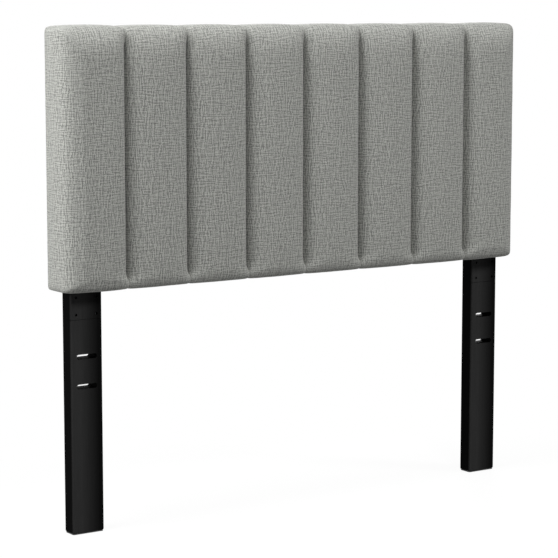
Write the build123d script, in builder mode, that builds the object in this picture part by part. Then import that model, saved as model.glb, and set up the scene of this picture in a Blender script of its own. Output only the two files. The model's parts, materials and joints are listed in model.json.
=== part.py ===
from build123d import *
import os
from math import asin, degrees, sqrt

# An upholstered headboard with eight vertical channels, on two bolt-on legs with slotted holes.
# Sizes are millimetres. X runs along the width, -Y is the padded front, and Z is up from the floor.
# The origin is on the floor, below the middle of the whole headboard.

# Upholstered panel
panel_width = 1422
panel_height = 651
panel_bottom = 611
channel_count = 8
cover_thickness = 1.5
foam_depth = 40
edge_foam_depth = 10
seam_gap = 0.3

# Form of the padding
crown_rise = 2
shoulder_radius = 36
side_edge_radius = 50
top_edge_radius = 47
bottom_edge_radius = 22
back_radius = 8
top_corner_radius = 24
bottom_corner_radius = 22
seam_dip = 4
seam_dip_run = 22
seam_flange = 3
cover_return = 40
profile_overlap = 0.6

# Boards and timber inside the padding
face_board_thickness = 9
back_board_thickness = 15
rail_height = 60
end_stile_thickness = 20
centre_stile_width = 45
corner_block_side = 60
corner_block_thickness = 36

# Dust cover and its staples
dust_cover_thickness = 0.8
dust_cover_margin = 14
dust_cover_corner_radius = 10
staple_wire = 0.9
staple_crown = 12
staple_leg = 9
staple_inset = 10
staples_per_channel = 2
staples_per_side = 6

# Dowels and screws of the frame
dowel_radius = 4
dowel_length = 36
dowel_spread = 30
stile_dowel_depth = 14
screw_radius = 1.75
screw_head_radius = 3.5
screw_head_depth = 2.2
screw_tip = 3
screw_grip = 20
screw_edge_distance = 22
fit_clearance = 0.05

# Legs
leg_width = 89
leg_depth = 44
leg_edge_radius = 5
foot_chamfer = 2
lap_height = 69
lap_line_gap = 0.8
leg_opening_clearance = 1
slot_length = 57
slot_width = 12
slot_pitch = 75
upper_slot_height = 449
glide_thickness = 3
glide_margin = 1.5
glide_screw_length = 25

# Bolts that join each lower leg to its post
bolt_radius = 3
bolt_spacing_across = 57
bolt_spacing_up = 43
bolt_hole_radius = 3.25
bolt_head_radius = 5.5
bolt_head_height = 3.3
bolt_socket_across = 4
bolt_socket_depth = 2
washer_radius = 8
washer_thickness = 1.6
insert_radius = 5
insert_length = 15

overrun = 5

# Planes along Y, from the front of the padding to the back of the dust cover
total_depth = (
    cover_thickness + foam_depth + face_board_thickness + leg_depth
    + back_board_thickness + cover_thickness + dust_cover_thickness + staple_wire
)
front_y = -total_depth / 2
board_front_y = front_y + cover_thickness + foam_depth
frame_front_y = board_front_y + face_board_thickness
frame_back_y = frame_front_y + leg_depth
board_back_y = frame_back_y + back_board_thickness
cover_back_y = board_back_y + cover_thickness
dust_back_y = cover_back_y + dust_cover_thickness
frame_middle_y = (frame_front_y + frame_back_y) / 2

# Heights and half widths
panel_top = panel_bottom + panel_height
panel_middle_z = (panel_bottom + panel_top) / 2
panel_half = panel_width / 2
edge_build = cover_thickness + edge_foam_depth
frame_bottom = panel_bottom + edge_build
frame_top = panel_top - edge_build
frame_half = panel_half - edge_build
frame_height = frame_top - frame_bottom
top_rail_bottom = frame_top - rail_height
bottom_rail_top = frame_bottom + rail_height
stile_inner_x = frame_half - end_stile_thickness
leg_x = stile_inner_x - leg_width / 2
leg_inner_x = leg_x - leg_width / 2
lap_bottom = panel_bottom - lap_height
lap_middle_z = (lap_bottom + panel_bottom) / 2
lower_slot_height = upper_slot_height - slot_pitch

# The channels: a shallow crown between two quarter-round shoulders
channel_pitch = panel_width / channel_count
strip_half = (channel_pitch - seam_gap) / 2
crown_run = strip_half - shoulder_radius
crown_radius = (crown_run**2 + crown_rise**2) / (2 * crown_rise)
crown_angle = degrees(asin(crown_run / (crown_radius - shoulder_radius)))
groove_depth = crown_radius - sqrt((crown_radius - shoulder_radius) ** 2 - crown_run**2)
dip_radius = (seam_dip_run**2 + seam_dip**2) / (2 * seam_dip)
dip_angle = degrees(asin((seam_dip_run + cover_thickness * 2) / dip_radius))

os.makedirs("parts", exist_ok=True)


def save(part, name):
    """Label a finished piece and write it to its own file."""
    part.label = name
    export_step(part, f"parts/{name}.step")


def plan_half(apex, direction, outer, inset):
    """Half of a channel's front in plan, drawn from its middle towards one side; returns where it ends."""
    if outer:
        flat = Line(apex, apex + Vector(direction * (channel_pitch / 2 - side_edge_radius), 0))
        turn = JernArc(flat @ 1, flat % 1, side_edge_radius - inset, direction * 90)
    else:
        crown = JernArc(apex, (direction, 0), crown_radius - inset, direction * crown_angle)
        turn = JernArc(crown @ 1, crown % 1, shoulder_radius - inset, direction * (90 - crown_angle))
    return turn @ 1


def strip_envelope(index, inset):
    """One channel's outer form, made smaller all round by inset: what its plan, side and front share.

    Each profile stands a little past the others' flat faces, so that they cross and never only touch.
    """
    middle_x = (index - (channel_count - 1) / 2) * channel_pitch
    first = index == 0
    last = index == channel_count - 1
    left_x = middle_x - (channel_pitch / 2 if first else strip_half) + inset
    right_x = middle_x + (channel_pitch / 2 if last else strip_half) - inset
    apex = Vector(middle_x, front_y + inset)
    top_z = panel_top - inset + profile_overlap
    bottom_z = panel_bottom + inset - profile_overlap
    with BuildPart() as envelope:
        with BuildSketch(Plane.XY.offset(panel_bottom)) as plan:
            with BuildLine():
                right_end = plan_half(apex, 1, last, inset)
                left_end = plan_half(apex, -1, first, inset)
                Polyline(right_end, (right_x, cover_back_y - inset), (left_x, cover_back_y - inset), left_end)
            make_face()
            back_corners = plan.vertices().group_by(Axis.Y)[-1].sort_by(Axis.X)
            if first:
                fillet(back_corners[0], back_radius - inset)
            if last:
                fillet(back_corners[-1], back_radius - inset)
        extrude(amount=panel_height)
        with BuildSketch(Plane.YZ.offset(middle_x)) as side:
            with Locations(((front_y - profile_overlap + cover_back_y) / 2, panel_middle_z)):
                Rectangle(cover_back_y - front_y + profile_overlap - 2 * inset, panel_height - 2 * inset)
            upper = side.vertices().group_by(Axis.Y)[-1].sort_by(Axis.X)
            lower = side.vertices().group_by(Axis.Y)[0].sort_by(Axis.X)
            fillet(upper[0], top_edge_radius - inset)
            fillet(lower[0], bottom_edge_radius - inset)
            fillet([upper[-1], lower[-1]], back_radius - inset)
        extrude(amount=channel_pitch, both=True, mode=Mode.INTERSECT)
        with BuildSketch(Plane.XZ.offset(-cover_back_y)) as face:
            with BuildLine():
                left_flat = left_x - profile_overlap if first else left_x - inset + seam_dip_run
                right_flat = right_x + profile_overlap if last else right_x + inset - seam_dip_run
                Line((left_flat, top_z), (right_flat, top_z))
                left_end = Vector(left_flat, top_z)
                right_end = Vector(right_flat, top_z)
                if not first:
                    left_end = JernArc(left_end, (-1, 0), dip_radius - inset, dip_angle) @ 1
                if not last:
                    right_end = JernArc(right_end, (1, 0), dip_radius - inset, -dip_angle) @ 1
                Polyline(right_end, (right_end.X, bottom_z), (left_end.X, bottom_z), left_end)
            make_face()
            bottom_corners = face.vertices().group_by(Axis.Y)[0].sort_by(Axis.X)
            top_corners = face.vertices().group_by(Axis.Y)[-1].sort_by(Axis.X)
            if first:
                fillet(bottom_corners[0], bottom_corner_radius - inset)
                fillet(top_corners[0], top_corner_radius - inset)
            if last:
                fillet(bottom_corners[-1], bottom_corner_radius - inset)
                fillet(top_corners[-1], top_corner_radius - inset)
        extrude(amount=total_depth, mode=Mode.INTERSECT)
    return envelope.part


def dowels(clearance):
    """All the frame's dowels, or with a clearance the holes that they go into."""
    spread = dowel_spread / 2
    rail_ends = [
        Location((side * (stile_inner_x + stile_dowel_depth - dowel_length / 2), frame_middle_y, z), (0, 90, 0))
        for side in (-1, 1)
        for z in (frame_top - rail_height / 2 - spread, frame_top - rail_height / 2 + spread)
    ]
    post_sides = [
        Location((side * leg_inner_x, frame_middle_y, z), (0, 90, 0))
        for side in (-1, 1)
        for z in (frame_bottom + rail_height / 2 - spread, frame_bottom + rail_height / 2 + spread)
    ]
    uprights = [
        Location((x + step, frame_middle_y, z))
        for x, z in (
            (-leg_x, top_rail_bottom), (leg_x, top_rail_bottom), (0, top_rail_bottom), (0, bottom_rail_top)
        )
        for step in (-spread / 2, spread / 2)
    ]
    with BuildPart() as group:
        with Locations(*rail_ends, *post_sides, *uprights):
            Cylinder(dowel_radius + clearance, dowel_length + 2 * clearance)
    return group.part


def screws(places, length, clearance):
    """Countersunk screws, heads up at each place, or with a clearance the holes that they go into."""
    radius = screw_radius + clearance
    head = screw_head_radius + clearance
    with BuildPart() as group:
        with BuildSketch(Plane.XZ):
            with BuildLine():
                Polyline(
                    (0, 0),
                    (head, 0),
                    (radius, -screw_head_depth),
                    (radius, -length + screw_tip),
                    (0, -length - clearance),
                    close=True,
                )
            make_face()
        revolve(axis=Axis.Z)
    with BuildPart() as placed:
        with Locations(*places):
            add(group.part)
    return placed.part


def board_screw_points():
    """Where a board is screwed to the frame, as X and Z."""
    top_z = frame_top - screw_edge_distance
    bottom_z = frame_bottom + screw_edge_distance
    outer_x = leg_x + leg_width / 2 - screw_edge_distance
    rail_x = leg_inner_x / 2
    points = [(side * outer_x, z) for side in (-1, 1) for z in (bottom_z, panel_middle_z, top_z)]
    points += [(side * rail_x, z) for side in (-1, 1) for z in (bottom_z, top_z)]
    points += [(0, panel_middle_z - rail_height), (0, panel_middle_z + rail_height)]
    return points


def staples(clearance):
    """The staples round the dust cover, or with a clearance the slits that they make."""
    row_z = dust_cover_margin + staple_inset
    side_x = panel_half - dust_cover_margin - staple_inset
    gap = channel_pitch / staples_per_channel
    count = channel_count * staples_per_channel
    rise = panel_height / staples_per_side
    flat = [
        Location(((i - (count - 1) / 2) * gap, dust_back_y, z))
        for i in range(count)
        for z in (panel_bottom + row_z, panel_top - row_z)
    ]
    upright = [
        Location((side * side_x, dust_back_y, panel_bottom + (i + 1 / 2) * rise), (0, 90, 0))
        for i in range(staples_per_side)
        for side in (-1, 1)
    ]
    with BuildPart() as one:
        with BuildSketch(Plane.XY.offset(-staple_wire / 2 - clearance)):
            with Locations((0, staple_wire / 2)):
                Rectangle(staple_crown + 2 * clearance, staple_wire)
            with Locations(
                ((staple_wire - staple_crown) / 2, -(staple_leg + clearance) / 2),
                ((staple_crown - staple_wire) / 2, -(staple_leg + clearance) / 2),
            ):
                Rectangle(staple_wire + 2 * clearance, staple_leg + clearance)
        extrude(amount=staple_wire + 2 * clearance)
    with BuildPart() as group:
        with Locations(*flat, *upright):
            add(one.part)
    return group.part


def bolt_places(side, y):
    """The four bolt axes of one leg, turned so that each bolt's head is towards +Y."""
    return [
        Location((side * leg_x + dx, y, lap_middle_z + dz), (-90, 0, 0))
        for dx in (-bolt_spacing_across / 2, bolt_spacing_across / 2)
        for dz in (-bolt_spacing_up / 2, bolt_spacing_up / 2)
    ]


# Screw places: board screws from the front and the back, stile screws from each side, glide screws
face_screw_places = [Location((x, board_front_y, z), (90, 0, 0)) for x, z in board_screw_points()]
back_screw_places = [Location((x, board_back_y, z), (-90, 0, 0)) for x, z in board_screw_points()]
stile_screw_places = [
    Location((side * frame_half, frame_middle_y, panel_middle_z + step * frame_height / 4), (0, side * 90, 0))
    for side in (-1, 1)
    for step in (-1, 0, 1)
]
glide_screw_places = [Location((side * leg_x, frame_middle_y, 0), (180, 0, 0)) for side in (-1, 1)]
face_screw_length = face_board_thickness + screw_grip
back_screw_length = back_board_thickness + screw_grip
stile_screw_length = end_stile_thickness + screw_grip

# Tools that drill the frame, made once
drilled = [
    dowels(fit_clearance),
    screws(face_screw_places, face_screw_length, fit_clearance),
    screws(back_screw_places, back_screw_length, fit_clearance),
    screws(stile_screw_places, stile_screw_length, fit_clearance),
]
staple_slits = staples(fit_clearance)

# Opening that each leg post makes in the bottom of the end channels
with BuildPart() as leg_openings:
    with BuildSketch(Plane.XY.offset(panel_bottom - overrun)):
        with Locations((-leg_x, frame_middle_y), (leg_x, frame_middle_y)):
            Rectangle(leg_width + 2 * leg_opening_clearance, leg_depth + 2 * leg_opening_clearance)
    extrude(amount=frame_bottom - panel_bottom + overrun)

# The boards and the timber between them, as one block that the foam wraps
with BuildPart() as core:
    with BuildSketch(Plane.XZ.offset(-board_front_y)):
        with Locations((0, panel_middle_z)):
            Rectangle(2 * frame_half, frame_height)
    extrude(amount=board_front_y - board_back_y - overrun)

# Foam and cover of each channel
groove_bottom_y = front_y + groove_depth
for index in range(channel_count):
    outer = strip_envelope(index, 0)
    inner = strip_envelope(index, cover_thickness)
    middle_x = (index - (channel_count - 1) / 2) * channel_pitch
    with BuildPart() as foam:
        add(inner)
        add(core.part, mode=Mode.SUBTRACT)
        add(leg_openings.part, mode=Mode.SUBTRACT)
    save(foam.part, f"channel_foam_{index + 1}")

    # Between channels the cover turns in only as far as its seam; at the back it is a narrow return
    wall_low_x = middle_x if index == 0 else middle_x - channel_pitch / 2 - overrun
    wall_high_x = middle_x if index == channel_count - 1 else middle_x + channel_pitch / 2 + overrun
    window_low_x = middle_x - channel_pitch / 2 - overrun
    window_high_x = middle_x + channel_pitch / 2 + overrun
    if index == 0:
        window_low_x = cover_return - panel_half
    if index == channel_count - 1:
        window_high_x = panel_half - cover_return
    seam_low_z = panel_bottom + cover_thickness + seam_flange
    seam_high_z = panel_top - seam_dip - cover_thickness - seam_flange
    seam_y = groove_bottom_y + seam_flange
    with BuildPart() as cover:
        add(outer)
        add(inner, mode=Mode.SUBTRACT)
        with BuildSketch(Plane.XY.offset(seam_low_z)):
            with Locations(((wall_low_x + wall_high_x) / 2, (seam_y + board_back_y) / 2)):
                Rectangle(wall_high_x - wall_low_x, board_back_y - seam_y)
        extrude(amount=seam_high_z - seam_low_z, mode=Mode.SUBTRACT)
        with BuildSketch(Plane.XZ.offset(-cover_back_y - overrun)):
            with Locations(((window_low_x + window_high_x) / 2, panel_middle_z)):
                Rectangle(window_high_x - window_low_x, panel_height - 2 * cover_return)
        extrude(amount=overrun + cover_thickness + back_radius, mode=Mode.SUBTRACT)
        add(leg_openings.part, mode=Mode.SUBTRACT)
        add(staple_slits, mode=Mode.SUBTRACT)
    save(cover.part, f"channel_cover_{index + 1}")

# Plywood behind the foam
with BuildPart() as face_board:
    with BuildSketch(Plane.XZ.offset(-board_front_y)):
        with Locations((0, panel_middle_z)):
            Rectangle(2 * frame_half, frame_height)
    extrude(amount=-face_board_thickness)
    add(drilled, mode=Mode.SUBTRACT)
save(face_board.part, "face_board")

# Board that closes the back
with BuildPart() as back_board:
    with BuildSketch(Plane.XZ.offset(-frame_back_y)):
        with Locations((0, panel_middle_z)):
            Rectangle(2 * frame_half, frame_height)
    extrude(amount=-back_board_thickness)
    add(drilled, mode=Mode.SUBTRACT)
    add(staple_slits, mode=Mode.SUBTRACT)
save(back_board.part, "back_board")

# Rails and stiles, each as its name, X range and Z range
timber = {
    "top_rail": (-stile_inner_x, stile_inner_x, top_rail_bottom, frame_top),
    "bottom_rail": (-leg_inner_x, leg_inner_x, frame_bottom, bottom_rail_top),
    "end_stile_left": (-frame_half, -stile_inner_x, frame_bottom, frame_top),
    "end_stile_right": (stile_inner_x, frame_half, frame_bottom, frame_top),
    "centre_stile": (-centre_stile_width / 2, centre_stile_width / 2, bottom_rail_top, top_rail_bottom),
}
for name, (low_x, high_x, low_z, high_z) in timber.items():
    with BuildPart() as member:
        with BuildSketch(Plane.XZ.offset(-frame_front_y)):
            with Locations(((low_x + high_x) / 2, (low_z + high_z) / 2)):
                Rectangle(high_x - low_x, high_z - low_z)
        extrude(amount=-leg_depth)
        add(drilled, mode=Mode.SUBTRACT)
    save(member.part, name)

# Glued blocks in the four corners between the posts and the rails
blocks = {
    "corner_block_top_left": (-1, top_rail_bottom, -1),
    "corner_block_top_right": (1, top_rail_bottom, -1),
    "corner_block_bottom_left": (-1, bottom_rail_top, 1),
    "corner_block_bottom_right": (1, bottom_rail_top, 1),
}
for name, (side, corner_z, rise) in blocks.items():
    corner_x = side * leg_inner_x
    with BuildPart() as block:
        with BuildSketch(Plane.XZ.offset(-frame_middle_y)):
            with BuildLine():
                Polyline(
                    (corner_x, corner_z),
                    (corner_x - side * corner_block_side, corner_z),
                    (corner_x, corner_z + rise * corner_block_side),
                    close=True,
                )
            make_face()
        extrude(amount=corner_block_thickness / 2, both=True)
    save(block.part, name)

save(dowels(0), "frame_dowels")
save(screws(face_screw_places, face_screw_length, 0), "face_board_screws")
save(screws(back_screw_places, back_screw_length, 0), "back_board_screws")
save(screws(stile_screw_places, stile_screw_length, 0), "end_stile_screws")

# Black cloth over the back, and its staples
with BuildPart() as dust_cover:
    with BuildSketch(Plane.XZ.offset(-cover_back_y)) as cloth:
        with Locations((0, panel_middle_z)):
            Rectangle(panel_width - 2 * dust_cover_margin, panel_height - 2 * dust_cover_margin)
        fillet(cloth.vertices(), dust_cover_corner_radius)
    extrude(amount=-dust_cover_thickness)
    add(staple_slits, mode=Mode.SUBTRACT)
save(dust_cover.part, "dust_cover")
save(staples(0), "dust_cover_staples")

for side, hand in ((-1, "left"), (1, "right")):
    # Post inside the panel, whose front half comes down past the panel to lap the lower leg
    with BuildPart() as post:
        with BuildSketch(Plane.XY.offset(lap_bottom + lap_line_gap)) as section:
            with Locations((side * leg_x, frame_middle_y)):
                Rectangle(leg_width, leg_depth)
            fillet(section.vertices(), leg_edge_radius)
        extrude(amount=top_rail_bottom - lap_bottom - lap_line_gap)
        with BuildSketch(Plane.XY.offset(lap_bottom)):
            with Locations((side * leg_x, (frame_middle_y + frame_back_y + overrun) / 2)):
                Rectangle(leg_width + overrun, frame_back_y + overrun - frame_middle_y)
        extrude(amount=lap_height, mode=Mode.SUBTRACT)
        with Locations(*bolt_places(side, frame_middle_y)):
            Hole(bolt_hole_radius, leg_depth)
            Hole(insert_radius + fit_clearance, insert_length)
        add(drilled, mode=Mode.SUBTRACT)
    save(post.part, f"leg_post_{hand}")

    # Lower leg, whose back half goes up behind the post's
    with BuildPart() as leg:
        with BuildSketch(Plane.XY.offset(glide_thickness)) as section:
            with Locations((side * leg_x, frame_middle_y)):
                Rectangle(leg_width, leg_depth)
            fillet(section.vertices(), leg_edge_radius)
        extrude(amount=panel_bottom - lap_line_gap - glide_thickness)
        chamfer(leg.faces().sort_by(Axis.Z)[0].edges(), foot_chamfer)
        with BuildSketch(Plane.XY.offset(lap_bottom)):
            with Locations((side * leg_x, (frame_middle_y + frame_front_y - overrun) / 2)):
                Rectangle(leg_width + overrun, frame_middle_y - frame_front_y + overrun)
        extrude(amount=lap_height, mode=Mode.SUBTRACT)
        with BuildSketch(Plane.XZ.offset(-frame_front_y)):
            with Locations((side * leg_x, upper_slot_height), (side * leg_x, lower_slot_height)):
                SlotOverall(slot_length, slot_width)
        extrude(amount=-leg_depth, mode=Mode.SUBTRACT)
        with Locations(*bolt_places(side, frame_back_y)):
            Hole(bolt_hole_radius, leg_depth)
        add(screws(glide_screw_places, glide_screw_length, fit_clearance), mode=Mode.SUBTRACT)
    save(leg.part, f"lower_leg_{hand}")

    # Threaded inserts in the post, and the washers and bolts that go in from the back
    with BuildPart() as inserts:
        with Locations(*bolt_places(side, frame_middle_y - insert_length / 2)):
            Cylinder(insert_radius, insert_length)
            Cylinder(bolt_radius + fit_clearance, insert_length, mode=Mode.SUBTRACT)
    save(inserts.part, f"leg_inserts_{hand}")
    with BuildPart() as washers:
        with Locations(*bolt_places(side, frame_back_y + washer_thickness / 2)):
            Cylinder(washer_radius, washer_thickness)
            Cylinder(bolt_hole_radius, washer_thickness, mode=Mode.SUBTRACT)
    save(washers.part, f"leg_washers_{hand}")
    head_y = frame_back_y + washer_thickness
    shank_length = leg_depth / 2 + washer_thickness + insert_length
    with BuildPart() as bolt:
        Cylinder(bolt_head_radius, bolt_head_height, align=(Align.CENTER, Align.CENTER, Align.MIN))
        fillet(bolt.edges().filter_by(GeomType.CIRCLE).sort_by(Axis.Z)[-1], bolt_head_height / 2)
        with BuildSketch(Plane.XY.offset(bolt_head_height)):
            RegularPolygon(bolt_socket_across / 2, 6, major_radius=False)
        extrude(amount=-bolt_socket_depth, mode=Mode.SUBTRACT)
        Cylinder(bolt_radius, shank_length, align=(Align.CENTER, Align.CENTER, Align.MAX))
    with BuildPart() as bolts:
        with Locations(*bolt_places(side, head_y)):
            add(bolt.part)
    save(bolts.part, f"leg_bolts_{hand}")

    # Plastic glide under the foot
    with BuildPart() as glide:
        with BuildSketch() as pad:
            with Locations((side * leg_x, frame_middle_y)):
                Rectangle(leg_width - 2 * glide_margin, leg_depth - 2 * glide_margin)
            fillet(pad.vertices(), leg_edge_radius)
        extrude(amount=glide_thickness)
        add(screws(glide_screw_places, glide_screw_length, fit_clearance), mode=Mode.SUBTRACT)
    save(glide.part, f"leg_glide_{hand}")

save(screws(glide_screw_places, glide_screw_length, 0), "glide_screws")
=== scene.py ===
# %% [markdown]
# # A channelled headboard
# The object is an upholstered headboard: eight upright padded channels in a light grey
# linen-look cloth, on two black legs with slots for a bed frame. The hard parts come from
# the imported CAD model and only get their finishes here. The soft parts are made anew, because
# cloth over foam needs more shape than a CAD solid gives it.

import json
import math

import bmesh
import bpy
import numpy as np
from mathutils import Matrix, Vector

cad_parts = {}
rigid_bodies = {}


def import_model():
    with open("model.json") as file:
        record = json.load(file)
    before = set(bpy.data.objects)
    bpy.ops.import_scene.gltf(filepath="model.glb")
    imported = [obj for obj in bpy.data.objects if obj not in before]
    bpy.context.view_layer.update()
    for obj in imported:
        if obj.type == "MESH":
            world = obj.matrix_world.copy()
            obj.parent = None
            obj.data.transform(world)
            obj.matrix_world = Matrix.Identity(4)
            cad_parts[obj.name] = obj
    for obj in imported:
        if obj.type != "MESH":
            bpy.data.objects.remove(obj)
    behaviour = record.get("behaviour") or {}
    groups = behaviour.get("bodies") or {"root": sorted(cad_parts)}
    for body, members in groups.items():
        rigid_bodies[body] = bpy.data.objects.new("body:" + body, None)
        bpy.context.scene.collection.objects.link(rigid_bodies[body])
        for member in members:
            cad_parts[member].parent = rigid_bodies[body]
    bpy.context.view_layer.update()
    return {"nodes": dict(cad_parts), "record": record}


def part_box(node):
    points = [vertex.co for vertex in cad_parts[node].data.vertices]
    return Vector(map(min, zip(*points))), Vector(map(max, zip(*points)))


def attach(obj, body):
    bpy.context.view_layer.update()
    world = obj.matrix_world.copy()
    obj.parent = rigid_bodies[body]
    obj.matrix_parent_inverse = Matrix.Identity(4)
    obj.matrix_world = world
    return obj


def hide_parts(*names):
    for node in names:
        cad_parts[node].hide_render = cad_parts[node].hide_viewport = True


for leftover in list(bpy.data.objects):
    bpy.data.objects.remove(leftover)
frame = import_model()
mm = 0.001

# %% [markdown]
# ## The camera
# The photograph was taken with a long lens from the left, a little above the padding's top.
# A pinhole camera was fitted to the straight edges and the seams, so its place and angles
# are numbers, and nothing is placed by eye. The Standard view shows colours as they are.

# %% Camera
camera_place = (-3.0968, -4.5099, 1.3121)
camera_turn = math.radians(33.99)
camera_tilt = math.radians(7.46)
camera_data = bpy.data.cameras.new("long_lens")
camera_data.lens = 134.7
camera_data.sensor_width = 36.0
camera = bpy.data.objects.new("long_lens", camera_data)
camera.location = camera_place
camera.rotation_euler = (math.pi / 2 - camera_tilt, 0, -camera_turn)
bpy.context.scene.collection.objects.link(camera)
bpy.context.scene.camera = camera
bpy.context.scene.view_settings.view_transform = "Standard"
print("camera:", round(camera_data.lens, 1), "mm lens at", camera_place, "m")

# %% [markdown]
# ## Small helpers
# A colour is written as a web colour, which is how a designer names it, and one function
# turns it to the linear values that the renderer needs. One more function adds a shader node
# with its settings and links.


# %% Colour and node helpers
def linear(hex_colour):
    """Linear colour of an sRGB hex value: a channel c becomes ((c + 0.055) / 1.055) ** 2.4."""
    channels = [int(hex_colour[i : i + 2], 16) / 255 for i in (1, 3, 5)]
    straight = [c / 12.92 if c <= 0.04045 else ((c + 0.055) / 1.055) ** 2.4 for c in channels]
    return (*straight, 1.0)


def add_node(tree, kind, values=None, links=None, **settings):
    """Add one node: settings are its properties, values its sockets' numbers, links its feeds."""
    made = tree.nodes.new(kind)
    for name, value in settings.items():
        setattr(made, name, value)
    for socket, value in (values or {}).items():
        made.inputs[socket].default_value = value
    for socket, source in (links or {}).items():
        tree.links.new(source, made.inputs[socket])
    return made


def new_material(name, **shader_values):
    """A material with only its shader and output; shader_values go on the shader's own sockets."""
    material = bpy.data.materials.new(name)
    material.use_nodes = True
    tree = material.node_tree
    tree.nodes.clear()
    shader = add_node(tree, "ShaderNodeBsdfPrincipled")
    for socket, value in shader_values.items():
        shader.inputs[socket.replace("_", " ")].default_value = value
    add_node(tree, "ShaderNodeOutputMaterial", links={"Surface": shader.outputs["BSDF"]})
    return material, tree, shader


print("web grey #808080 in linear light:", round(linear("#808080")[0], 3))


# %% [markdown]
# ## The upholstery cloth
# The real cloth is a polyester woven to look like linen. Its threads vary in thickness, so
# short pale slubs and dark gaps run both up and across, and that is what the eye sees from
# two metres. The weave follows the cloth, so the pattern reads each piece's UV map, which is
# in metres of cloth. Each thread keeps one shade for a short stretch, so the upright and the
# level threads are long cells with random shades, laid like bricks. A pale thread shows best
# beside a dark one, so each cell's shade has the next thread's shade taken away. Small cells
# are the crossings, and the sum of all three is how far the cloth stands up at a point.

# %% Linen-look polyester
# Each size is a thread's width and the length of one shade. Real threads are some 0.7 mm wide;
# they are drawn some three times as coarse, so that they show at this picture size.
upright_thread = (2.4 * mm, 14 * mm)
level_thread = (2.1 * mm, 20 * mm)
crossing = (1.4 * mm, 1.4 * mm)
level_share = 0.8  # how much the level threads show beside the upright ones
weave_range = (-0.35, 1.35)  # the sums that are darkest and palest
# Dull fibres with hardly any shine, and a faint sheen where the cloth turns away.
cloth, cloth_tree, cloth_shader = new_material(
    "linen_look_polyester_woven",
    Roughness=0.92, Sheen_Weight=0.12, Sheen_Roughness=0.6, Specular_IOR_Level=0.2,
)
cloth_uv = add_node(cloth_tree, "ShaderNodeUVMap", uv_map="cloth")


# %% Random shades in rows of cells
def cell_shades(turn, cell, rows_aside=0):
    """A random shade from 0 to 1 in each cell of cloth; turn is its rows' angle in radians."""
    width, length = cell
    laid = add_node(
        cloth_tree, "ShaderNodeMapping",
        {"Location": (0, rows_aside * width / mm, 0), "Rotation": (0, 0, turn),
         "Scale": (1 / mm, 1 / mm, 1)},
        {"Vector": cloth_uv.outputs["UV"]},
    )
    cells = add_node(
        cloth_tree, "ShaderNodeTexBrick",
        {"Color1": (0, 0, 0, 1), "Color2": (1, 1, 1, 1), "Scale": 1.0, "Mortar Size": 0.0,
         "Brick Width": length / mm, "Row Height": width / mm},
        {"Vector": laid.outputs["Vector"]},
    )
    return cells.outputs["Color"]


def thread_shades(turn, thread):
    """Each thread's shade less its neighbour's, from -1 to 1."""
    step = add_node(
        cloth_tree, "ShaderNodeMath",
        links={0: cell_shades(turn, thread), 1: cell_shades(turn, thread, rows_aside=1)},
        operation="SUBTRACT",
    )
    return step.outputs["Value"]


# %% Weave the threads together
threads = add_node(
    cloth_tree, "ShaderNodeMath", {1: level_share},
    {0: thread_shades(0, level_thread), 2: thread_shades(math.pi / 2, upright_thread)},
    operation="MULTIPLY_ADD",
)
woven = add_node(
    cloth_tree, "ShaderNodeMath",
    links={0: cell_shades(0, crossing), 1: threads.outputs["Value"]}, operation="ADD",
)
weave_height = add_node(
    cloth_tree, "ShaderNodeMapRange", {"From Min": weave_range[0], "From Max": weave_range[1]},
    {"Value": woven.outputs["Value"]},
)
weave_colour = add_node(
    cloth_tree, "ShaderNodeMix",
    {"A": linear("#70716e"), "B": linear("#bcbdb7")}, {"Factor": weave_height.outputs["Result"]},
    data_type="RGBA",
)
weave_bump = add_node(
    cloth_tree, "ShaderNodeBump", {"Strength": 0.35, "Distance": 0.5 * mm},
    {"Height": weave_height.outputs["Result"]},
)
cloth_tree.links.new(weave_colour.outputs["Result"], cloth_shader.inputs["Base Color"])
cloth_tree.links.new(weave_bump.outputs["Normal"], cloth_shader.inputs["Normal"])
print("weave:", len(cloth_tree.nodes), "nodes")


# %% [markdown]
# ## The other finishes
# The wood, board, metal and nylon parts keep their CAD shapes and read Object coordinates,
# because each of them is solid all through. Each pattern has its real size: growth rings a few
# millimetres apart, plies of 1.5 mm, and zinc spangle of a few millimetres. From outside one
# sees the paint, the nylon feet, the bolts in their holes, and the staples and black cloth on
# the back. The rest shows when the model is taken apart.


# %% Finishes on solid stuff
def solid_finish(name, pale, dark, spot_size, bump, **shader_values):
    """A finish from dark to pale over noise spots; spot_size is in metres, along X, Y and Z."""
    material, tree, shader = new_material(name, **shader_values)
    place = add_node(tree, "ShaderNodeTexCoord")
    stretched = add_node(
        tree, "ShaderNodeMapping", {"Scale": tuple(1 / size for size in spot_size)},
        {"Vector": place.outputs["Object"]},
    )
    noise = add_node(
        tree, "ShaderNodeTexNoise", {"Scale": 1.0, "Detail": 4.0, "Roughness": 0.6},
        {"Vector": stretched.outputs["Vector"]},
    )
    spread = add_node(
        tree, "ShaderNodeMapRange", {"From Min": 0.3, "From Max": 0.7},
        {"Value": noise.outputs["Fac"]},
    )
    colour = add_node(
        tree, "ShaderNodeMix", {"A": linear(dark), "B": linear(pale)},
        {"Factor": spread.outputs["Result"]}, data_type="RGBA",
    )
    relief = add_node(
        tree, "ShaderNodeBump", {"Strength": 0.5, "Distance": bump},
        {"Height": spread.outputs["Result"]},
    )
    tree.links.new(colour.outputs["Result"], shader.inputs["Base Color"])
    tree.links.new(relief.outputs["Normal"], shader.inputs["Normal"])
    return material


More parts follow.
